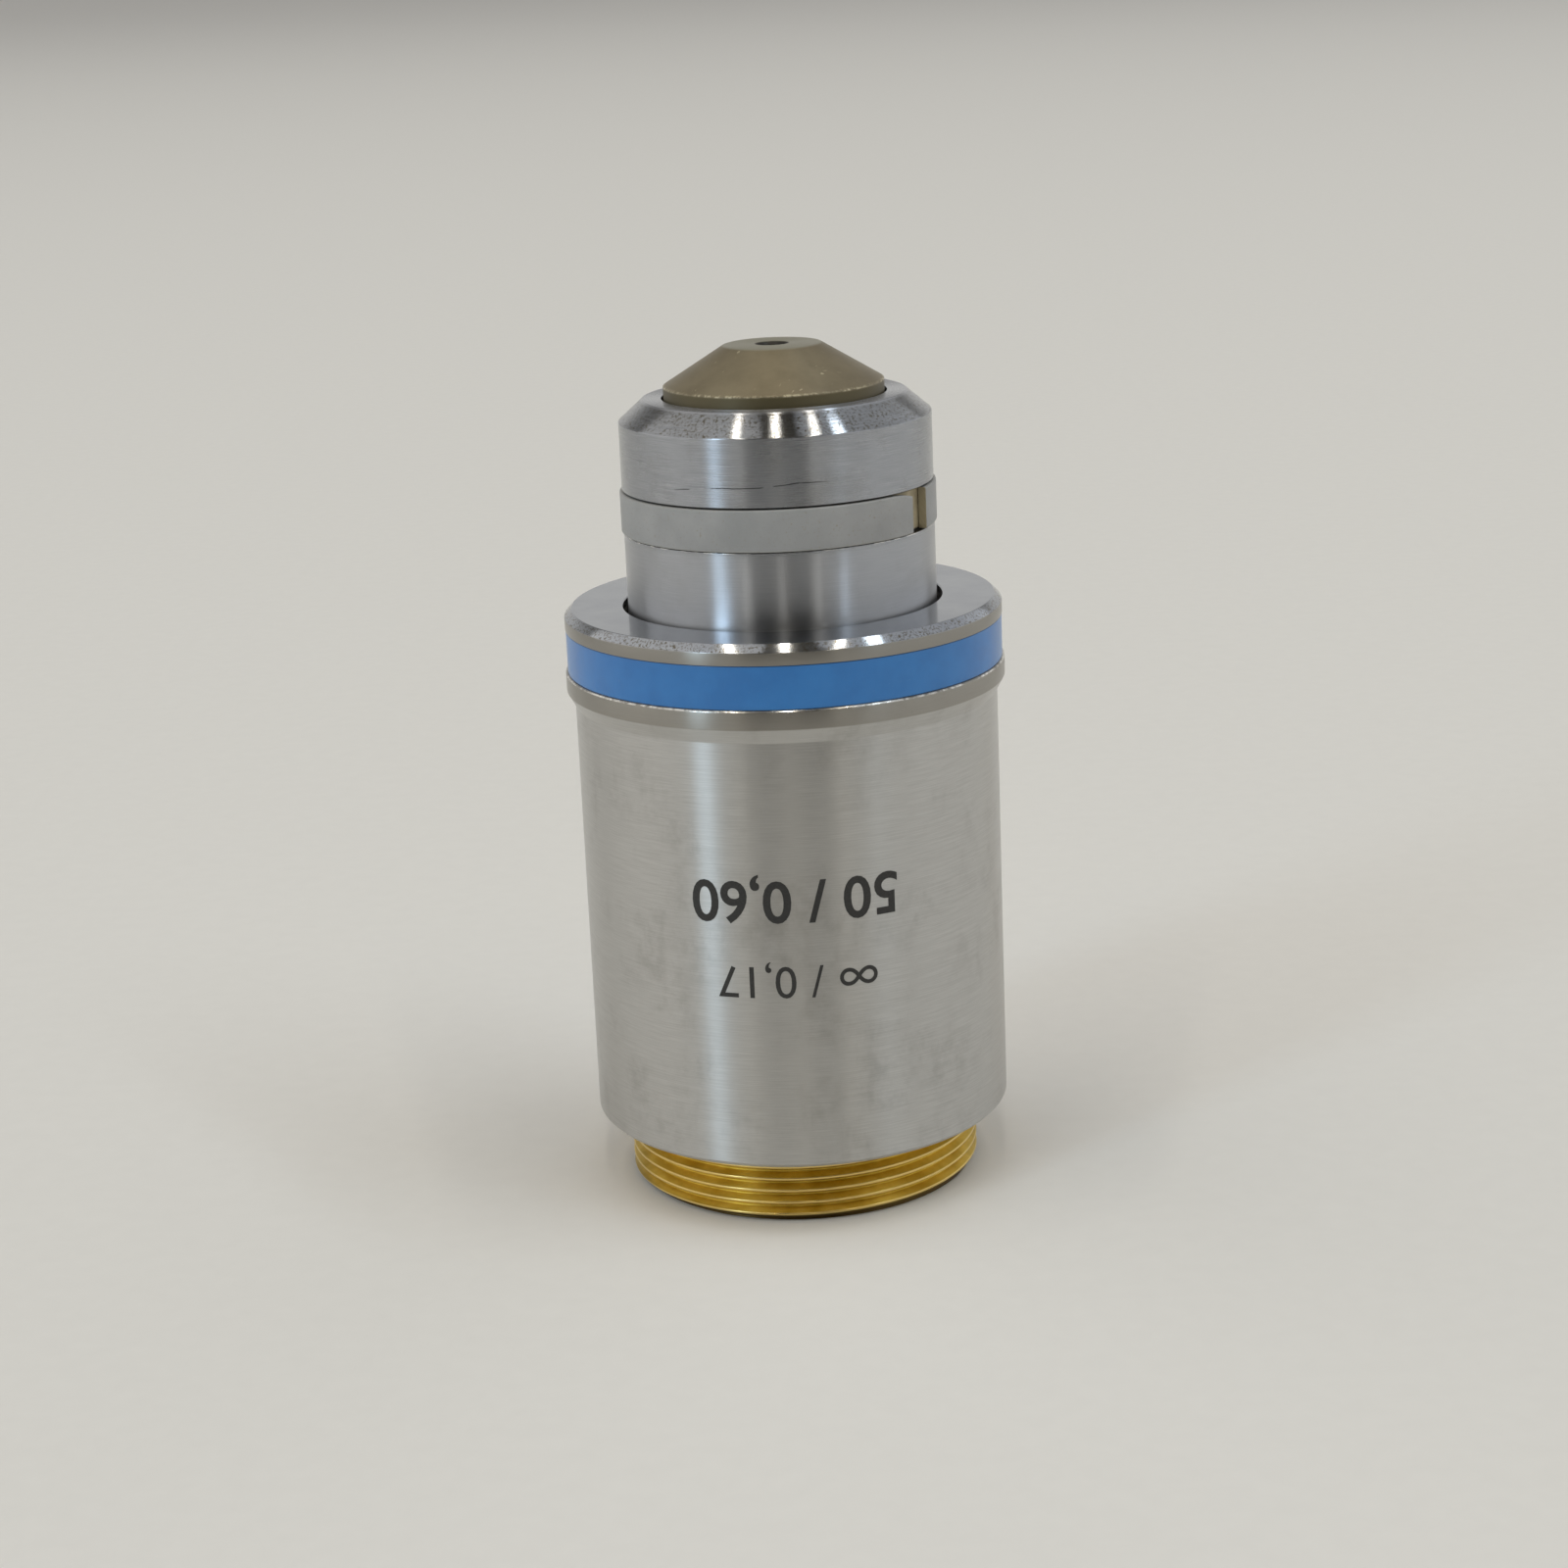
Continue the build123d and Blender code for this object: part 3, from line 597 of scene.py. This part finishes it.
glass, place = new_finish("coated_glass")
dust = blotches(place, 0.12, 2.0).spread(0.66, 0.74)
haze = blotches(place, 2.5)
green = haze.spread(0.3, 0.7).mix(tone(226, 238, 236), tone(238, 246, 244))
close_finish(
    place,
    Base_Color=dust.mix(green, tone(190, 188, 180)),
    Roughness=dust * 0.4 + 0.01,
    Transmission_Weight=1.0,
    IOR=1.52,
    Coat_Weight=0.4,
    Coat_Tint=(0.55, 0.42, 0.9, 1.0),
)
GLASSES = ["meniscus_lens", "doublet_rear_lens", "doublet_front_lens", "triplet_rear_lens"]
GLASSES += ["triplet_centre_lens", "triplet_front_lens", "rear_doublet_rear_lens"]
GLASSES += ["rear_doublet_front_lens", "front_lens"]
dress(glass, *GLASSES)


# The barrel of the nose is turned from steel and left bright, with the tool's fine lines. A collar
# stops it inside, a shallow groove takes the plastic ring, and its front is bevelled round a thin
# lip that holds the lens cone. The land below the ring slides through the front ring and is
# polished by it.

GROOVE_Z = 37.98
GROOVE_TOP_Z = 40.42
GROOVE_R = 8.36
BARREL_R = 8.72
BEVEL_Z = 44.15
BEVEL_TOP_R = 7.34
NOSE_TOP_Z = 45.34
barrel_section = [
    (7.30, 25.6),
    (9.5, 25.6),
    (9.5, 28.55),
    (BARREL_R, 28.55),
    (BARREL_R, GROOVE_Z),
    (GROOVE_R, GROOVE_Z),
    (GROOVE_R, GROOVE_TOP_Z),
    (BARREL_R, GROOVE_TOP_Z),
    (BARREL_R, BEVEL_Z),
    (BEVEL_TOP_R, NOSE_TOP_Z),
    (6.28, NOSE_TOP_Z),
    (6.28, 44.3),
    (7.30, 44.3),
]
barrel = draw_section("sliding_barrel", barrel_section)
round_corners(barrel, 0.03, [(BARREL_R, GROOVE_Z), (BARREL_R, GROOVE_TOP_Z), (6.28, NOSE_TOP_Z)])
round_corners(barrel, 0.05, [(BARREL_R, BEVEL_Z), (BEVEL_TOP_R, NOSE_TOP_Z)])
spin_section(256)
smooth(barrel)

turned, place = new_finish("turned_steel")
x, y, z = round_axis(place)[:3]
fine = turning_lines(place, 0.03, 5.0, 6.0)
coarse = turning_lines(place, 0.13, 2.0)
stain = blotches(place, 2.4, 5.0, 0.6)
# Painted highlight: broken bright glints along the top edge of the land, just under the plastic
# ring.
painted_glint = (z - GROOVE_Z).math("ABSOLUTE").spread(0.06, 0.02)
painted_glint = painted_glint * blotches(place, 0.7).spread(0.5, 0.6)
polished = z.spread(37.9, 37.7)
lip = z.spread(45.2, 45.3)
bevel = z.spread(44.1, 44.2) * (1.0 - lip)
pits = blotches(place, 0.16, 3.0, 0.7).spread(0.52, 0.68) * bevel
scratch_run = x * 0.035 + blotches(place, 3.0, 2.0) * 0.5
scratch = (z - scratch_run - 41.35).math("ABSOLUTE").spread(0.035, 0.012)
scratch = scratch * x.spread(-5.9, -5.0) * x.spread(2.9, 2.0) * y.spread(0.0, -1.0)
scratch = scratch * blotches(place, 1.0, 3.0).spread(0.42, 0.52)
grey = fine.spread(0.3, 0.7).mix(tone(150, 153, 158), tone(176, 178, 182))
grey = (stain.spread(0.5, 0.75) * 0.4).mix(grey, tone(140, 139, 137))
grey = painted_glint.mix(grey, tone(236, 236, 232))
# Painted light: the flat lip on top is a lighter steel than the rest of the barrel, so that the
# face turned up reads brighter.
grey = lip.mix(grey, tone(186, 188, 193))
grey = (polished * 0.4).mix(grey, tone(186, 188, 192))
grey = pits.mix(grey, tone(96, 88, 66))
grey = scratch.mix(grey, tone(58, 58, 60))
close_finish(
    place,
    Base_Color=grey,
    Metallic=1.0,
    Roughness=fine * 0.07 + stain * 0.04 + 0.21 + polished * 0.05 - bevel * 0.11 + pits * 0.1,
    Anisotropic=1.0,
    Anisotropic_Rotation=0.25,
    Normal=bump(fine * (1.0 - polished * 0.7), 0.0022, bump(coarse, 0.0015)),
)

groove_floor, place = new_finish("groove_floor_brass")
z = round_axis(place)[2]
lines = turning_lines(place, 0.05)
stain = blotches(place, 0.7)
khaki = stain.spread(0.35, 0.65).mix(tone(156, 145, 118), tone(186, 174, 146))
# Painted shade: the groove floor turns nearly black towards its top and bottom, where the barrel
# and the ring shade it.
depth = (z - (GROOVE_Z + GROOVE_TOP_Z) / 2).math("ABSOLUTE")
khaki = depth.spread(1.04, 1.14).mix(khaki, tone(30, 27, 22))
close_finish(
    place,
    Base_Color=khaki,
    Metallic=0.4,
    Roughness=lines * 0.2 + 0.35,
    Normal=bump(lines, 0.003),
)
barrel.data.materials.append(turned)
barrel.data.materials.append(groove_floor)
for face in barrel.data.polygons:
    out = hypot(face.center.x, face.center.y) / MM
    beside_ring = GROOVE_Z - 0.01 < face.center.z / MM < GROOVE_TOP_Z + 0.01
    if beside_ring and 8 < out < BARREL_R - 0.05:
        face.material_index = 1
hand_over(barrel, "nose", "turned_steel", "nose_barrel")


# The ring in the groove is moulded in grey plastic and open at one side, so that it springs open
# over the barrel. It hides the three centring screws. Its ends are cut square, with soft corners.

RING_OUT_R = 8.85
RING_IN_R = 8.40
RING_Z = 38.03
RING_TOP_Z = 40.31
RING_DROP = 0.22
RING_START = -34.5
RING_SPAN = 349.5
ring_section = [
    (RING_IN_R, RING_Z),
    (RING_OUT_R, RING_Z),
    (RING_OUT_R, RING_TOP_Z),
    (RING_IN_R, RING_TOP_Z),
]
open_ring = draw_section("open_ring", ring_section, azimuth=radians(RING_START))
round_corners(open_ring, 0.09, [(RING_OUT_R, RING_Z), (RING_OUT_R, RING_TOP_Z)], 4)
bpy.ops.mesh.select_all(action="SELECT")
bpy.ops.mesh.edge_face_add()
spin_section(240, RING_SPAN)
for point in open_ring.data.vertices:
    from_front = degrees(atan2(point.co.x, -point.co.y))
    if 40 < from_front < 60 and point.co.z / MM > 39:
        point.co.z -= RING_DROP * ((from_front - 40) / 15.5) ** 3 * MM
smooth(open_ring)

plastic, place = new_finish("grey_plastic")
z = round_axis(place)[2]
grain = blotches(place, 0.14, 4.0)
stain = blotches(place, 2.5, 5.0)
edge = (z - 39.2).math("ABSOLUTE").spread(1.08, 1.2)
grey = stain.spread(0.35, 0.68).mix(tone(148, 149, 149), tone(160, 160, 160))
grey = edge.mix(grey, tone(190, 188, 178))
grey = grain.spread(0.6, 0.72).mix(grey, tone(146, 142, 130))
close_finish(
    place,
    Base_Color=grey,
    Roughness=grain * 0.14 + 0.42,
    Normal=bump(grain, 0.006),
)
# The ring's ends are the same grey plastic; their khaki colour is painted shade, warmed by light
# thrown from the brass groove floor.
sawn, place = new_finish("sawn_ring_ends")
saw_marks = turning_lines(place, 0.05)
ends_painted_shade = saw_marks.spread(0.3, 0.7).mix(tone(150, 140, 114), tone(178, 168, 142))
close_finish(
    place,
    Base_Color=ends_painted_shade,
    Roughness=saw_marks * 0.2 + 0.4,
    Normal=bump(saw_marks, 0.004),
)
open_ring.data.materials.append(plastic)
open_ring.data.materials.append(sawn)
for face in open_ring.data.polygons:
    around = face.normal.dot(Vector((-face.center.y, face.center.x, 0)).normalized())
    if abs(around) > 0.9:
        face.material_index = 1
hand_over(open_ring, "nose", "grey_plastic", "split_ring")


# The front lens sits in a low cone of bronze, browned and satin, which stands on a short foot in
# the barrel's lip. Its face carries rubbed marks and its edge small nicks, with painted glints on
# them, and a small hole in its tip shows the glass.

FOOT_R = 6.15
CONE_Z = 45.98
TIP_R = 2.7
TIP_Z = 48.1
HOLE_R = 0.95
cone_section = [
    (4.92, 40.6),
    (6.47, 40.6),
    (6.47, 44.3),
    (FOOT_R, 44.3),
    (FOOT_R, CONE_Z),
    (TIP_R, TIP_Z),
    (HOLE_R, TIP_Z),
    (0.75, 47.9),
    (0.75, 47.75),
    (1.39, 47.75),
    (1.39, 46.9),
    (4.92, 43.8),
]
cone = draw_section("lens_cone", cone_section)
round_corners(cone, 0.04, [(FOOT_R, CONE_Z), (HOLE_R, TIP_Z)])
round_corners(cone, 0.10, [(TIP_R, TIP_Z)], 4)
spin_section(224)
smooth(cone)

bronze, place = new_finish("browned_bronze")
z, r = round_axis(place)[2:]
lines = turning_lines(place, 0.05, 3.0)
patina = blotches(place, 2.2, 6.0, 0.62)
speck = blotches(place, 0.22, 4.0, 0.7)
brown = patina.spread(0.35, 0.65).mix(tone(118, 107, 84), tone(132, 121, 97))
# Painted light: the tip's flat top is a paler, greyer bronze, as the face turned up reads lighter.
brown = z.spread(48.02, 48.09).mix(brown, tone(152, 148, 132))
brown = r.spread(0.98, 0.9).mix(brown, tone(40, 36, 30))
brown = z.spread(CONE_Z, CONE_Z - 0.12).mix(brown, tone(92, 84, 60))
# Painted highlight on real nicks: broken bright glints along the cone's lower edge.
nicks_and_glints = (z - CONE_Z).math("ABSOLUTE").spread(0.09, 0.02) * speck.spread(0.45, 0.62)
nicks_and_glints = nicks_and_glints * patina.spread(0.38, 0.56).spread(0.0, 1.0, 0.2, 0.9)
strokes = place.node("ShaderNodeMapping", inputs={"Vector": place, "Rotation": (0.3, 0.4, 0.9)})
drawn_out = {0: strokes, 1: (9e3, 1.6e3, 1.6e3)}
strokes = place.node("ShaderNodeVectorMath", {"operation": "MULTIPLY"}, drawn_out)
strokes = place.node("ShaderNodeTexNoise", inputs={"Vector": strokes, "Scale": 1.0, "Detail": 2.0})
marks = strokes.spread(0.66, 0.74) * blotches(place, 1.6, 2.0).spread(0.54, 0.64)
marks = marks * z.spread(CONE_Z, CONE_Z + 0.1, 0.0, 0.7)
# The pale marks: rubbed marks on the face, and painted glints on the edge's nicks.
worn = (nicks_and_glints + marks).math("MINIMUM", 1.0)
brown = worn.mix(brown, tone(206, 196, 166))
close_finish(
    place,
    Base_Color=brown,
    Metallic=0.4,
    Roughness=patina * 0.16 + lines * 0.08 + 0.34 - worn * 0.1,
    Anisotropic=0.5,
    Anisotropic_Rotation=0.25,
    Normal=bump(lines, 0.002, bump(speck, 0.003)),
)
cone.data.materials.append(bronze)
hand_over(cone, "nose", "bronze_mount", "front_lens_mount")


# The colour ring tells the magnification. It is a steel band with a glossy light blue enamel,
# clamped between the casing's rim and the front ring.

BAND_R = 12.33
BAND_Z = RIM_TOP_Z
BAND_TOP_Z = 32.65
band_section = [(11.39, BAND_Z), (BAND_R, BAND_Z), (BAND_R, BAND_TOP_Z), (11.39, BAND_TOP_Z)]
band = draw_section("blue_band", band_section)
round_corners(band, 0.06, [(BAND_R, BAND_Z), (BAND_R, BAND_TOP_Z)])
spin_section(256)
smooth(band)

enamel, place = new_finish("blue_enamel")
z = round_axis(place)[2]
flow = blotches(place, 1.6, 3.0)
grit = blotches(place, 0.1, 2.0).spread(0.72, 0.78)
edge = (z - (BAND_Z + BAND_TOP_Z) / 2).math("ABSOLUTE").spread(1.13, 1.2)
blue = flow.spread(0.35, 0.65).mix(tone(28, 110, 180), tone(36, 118, 188))
blue = edge.mix(blue, tone(30, 84, 136))
blue = (grit * 0.4).mix(blue, tone(120, 160, 196))
close_finish(
    place,
    Base_Color=blue,
    Roughness=flow * 0.1 + 0.34,
    Coat_Weight=0.4,
    Coat_Roughness=0.09,
    Normal=bump(flow, 0.004),
)
band.data.materials.append(enamel)
hand_over(band, "housing", "blue_enamel", "colour_ring")


# The front ring screws into the casing and closes it round the nose. Its face is polished like a
# mirror, its bevel is ground and speckled, and its narrow edge is satin.

SLIDE_R = 9.02
CAP_R = 12.36
CAP_Z = BAND_TOP_Z
CAP_BEVEL_Z = 33.35
FACE_R = 11.93
FACE_Z = 33.78
cap_section = [
    (SLIDE_R, 31.2),
    (10.65, 31.2),
    (10.65, CAP_Z),
    (CAP_R, CAP_Z),
    (CAP_R, CAP_BEVEL_Z),
    (FACE_R, FACE_Z),
    (SLIDE_R, FACE_Z),
]
cap = draw_section("polished_ring", cap_section)
round_corners(cap, 0.03, [(CAP_R, CAP_Z), (CAP_R, CAP_BEVEL_Z), (FACE_R, FACE_Z)])
round_corners(cap, 0.08, [(SLIDE_R, FACE_Z)])
spin_section(256)
smooth(cap)

mirror, place = new_finish("polished_steel")
z = round_axis(place)[2]
hairs = turning_lines(place, 0.05, 8.0)
stain = blotches(place, 3.0, 4.0)
face = z.spread(33.74, 33.77)
rim = z.spread(33.38, 33.33)
ground = (1.0 - face) * (1.0 - rim)
pits = blotches(place, 0.14, 3.0, 0.7).spread(0.5, 0.66) * ground
grey = stain.spread(0.35, 0.65).mix(tone(176, 180, 188), tone(188, 192, 198))
grey = rim.mix(grey, tone(152, 149, 143))
grey = pits.mix(grey, tone(104, 94, 70))
close_finish(
    place,
    Base_Color=grey,
    Metallic=1.0,
    Roughness=0.05 + hairs * 0.05 + rim * 0.24 + ground * 0.07 + pits * 0.10,
    Anisotropic=0.97,
    Anisotropic_Rotation=0.25,
    Normal=bump(hairs, 0.0006),
)
cap.data.materials.append(mirror)
hand_over(cap, "housing", "polished_steel", "front_ring")


# The studio: a plain pale floor that lets light into the bore from below, tubes of light overhead,
# a tall window at the left, and a broad cool light at the right. The room is pale near the horizon
# and dimmer above. A dark card behind the camera shows only in the metal, as a camera's body does.

CEILING = 4.0
WINDOW_AWAY = 4.0
TUBE_X = 1.57
TUBE_Y = -1.9
TUBE_FAN = 13.5
WARM = (1.0, 0.93, 0.80)
COOL = (0.80, 0.91, 1.0)
SKY_BLUE = (0.62, 0.82, 1.0)
UNDER_PIECES = (0, 0, -2e-5)
bpy.ops.mesh.primitive_circle_add(
    vertices=96,
    radius=70.0,
    fill_type="NGON",
    location=UNDER_PIECES,
)
floor = bpy.context.object
floor.name = "floor"
paper, place = new_finish("pale_paper")
fibre = blotches(place, 1.5, 4.0)
pale = fibre.spread(0.3, 0.7).mix(tone(226, 224, 220), tone(228, 226, 222))
shader = place.node("ShaderNodeBsdfPrincipled", inputs={"Base Color": pale, "Roughness": 0.7})
clear = place.node("ShaderNodeBsdfTransparent")
below = place.node("ShaderNodeNewGeometry", output="Backfacing")
r = round_axis(place)[3]
open_below = r.spread(9.68, 9.63).math("MAXIMUM", below)
sheet = place.node("ShaderNodeMixShader", inputs={0: open_below, 1: shader, 2: clear})
place.node("ShaderNodeOutputMaterial", inputs={"Surface": sheet})
floor.data.materials.append(paper)


def lamp(name, place, aim, width, length, power, colour, turn=0.0):
    """A soft rectangular light at a place, facing a point, turned in its own plane."""
    bpy.ops.object.light_add(type="AREA", location=place)
    light = bpy.context.object
    light.name = light.data.name = name
    light.data.shape = "RECTANGLE"
    light.data.size = width
    light.data.size_y = length
    light.data.energy = power
    light.data.color = colour
    toward = Vector(aim) - Vector(place)
    light.rotation_mode = "QUATERNION"
    turned_by = Quaternion((0, 0, 1), radians(turn))
    light.rotation_quaternion = toward.to_track_quat("-Z", "Y") @ turned_by


def far_light(name, azimuth, elevation, spread, strength, colour):
    """A far, broad light, by its direction from the viewer's side and above the floor."""
    bpy.ops.object.light_add(type="SUN")
    light = bpy.context.object
    light.name = light.data.name = name
    light.data.angle = radians(spread)
    light.data.energy = strength
    light.data.color = colour
    a, e = radians(azimuth), radians(elevation)
    from_there = Vector((sin(a) * cos(e), -cos(a) * cos(e), sin(e)))
    light.rotation_mode = "QUATERNION"
    light.rotation_quaternion = (-from_there).to_track_quat("-Z", "Y")


for name, across in (("tube_left", -1), ("tube_middle", 0), ("tube_right", 1)):
    x = across * TUBE_X
    turn = across * TUBE_FAN
    lamp(name, (x, TUBE_Y, CEILING), (x, TUBE_Y, 0), 0.16, 4.8, 26.0, WARM, turn)
lamp("cool_tube", (2.9, -1.5, CEILING), (2.9, -1.5, 0), 0.40, 4.4, 40.0, COOL, 32)
window_x, window_y = -WINDOW_AWAY * sin(radians(47)), -WINDOW_AWAY * cos(radians(47))
lamp("window", (window_x, window_y, 1.9), (0, 0, 0.4), 0.66, 3.2, 29.0, SKY_BLUE)
far_light("left_wall", -85, 42, 84, 0.76, (1.0, 0.98, 0.95))
far_light("right_wall", 97, 38, 88, 0.60, (0.93, 0.96, 1.0))

bpy.ops.mesh.primitive_plane_add(size=1.0, location=(0, -0.205, 0.06), rotation=(pi / 2, 0, 0))
camera_card = bpy.context.object
camera_card.name = "camera_card"
camera_card.scale = (0.18, 0.12, 1)
bpy.ops.object.transform_apply(location=True, rotation=True, scale=True)
camera_card.visible_camera = camera_card.visible_diffuse = camera_card.visible_shadow = False
cloth, place = new_finish("dark_cloth")
weave = blotches(place, 3.0)
dark = weave.mix(tone(58, 58, 60), tone(70, 70, 72))
close_finish(place, Base_Color=dark, Roughness=0.8, Normal=bump(weave, 0.1))
camera_card.data.materials.append(cloth)

room = bpy.data.worlds.new("room")
bpy.context.scene.world = room
room.use_nodes = True
room.node_tree.nodes.clear()
sky = Wire(room.node_tree, room.node_tree.nodes.new("ShaderNodeTexCoord").outputs["Generated"])
across = sky.node("ShaderNodeSeparateXYZ", inputs={"Vector": sky})
depth, up = across.beside("Y"), across.beside("Z")
STOPS = [(0.0, tone(192, 191, 188)), (0.60, tone(196, 195, 192)), (0.68, tone(150, 149, 147))]
STOPS += [(0.78, tone(112, 110, 106)), (1.0, tone(76, 73, 66))]
ramp = sky.node("ShaderNodeValToRGB", {"stops": STOPS}, {"Fac": up * 0.5 + 0.5})
seen = sky.node("ShaderNodeLightPath", output="Is Camera Ray")
shade = depth.spread(-0.95, -0.55, 0.35, 1.0).math("MAXIMUM", seen)
light = sky.node("ShaderNodeBackground", inputs={"Color": ramp, "Strength": shade})
sky.node("ShaderNodeOutputWorld", inputs={"Surface": light})


# The camera stands close in front and a little above, as for the photograph.

EYE = Vector((-0.365, -167.008, 68.742)) * MM
PITCH_DOWN = radians(15.381)
ROLL = radians(-2.451)
ahead = Vector((0, cos(PITCH_DOWN), -sin(PITCH_DOWN)))
right = Vector((1, 0, 0))
over = right.cross(ahead)
side = right * cos(ROLL) + over * sin(ROLL)
top = over * cos(ROLL) - right * sin(ROLL)
bpy.ops.object.camera_add()
camera = bpy.context.object
camera.matrix_world = Matrix.Translation(EYE) @ Matrix((side, top, -ahead)).transposed().to_4x4()
camera.data.lens = 69.149
camera.data.sensor_width = 36.0
camera.data.clip_start = 0.001
camera.data.clip_end = 300.0
bpy.context.scene.camera = camera
bpy.context.scene.view_settings.view_transform = "Standard"
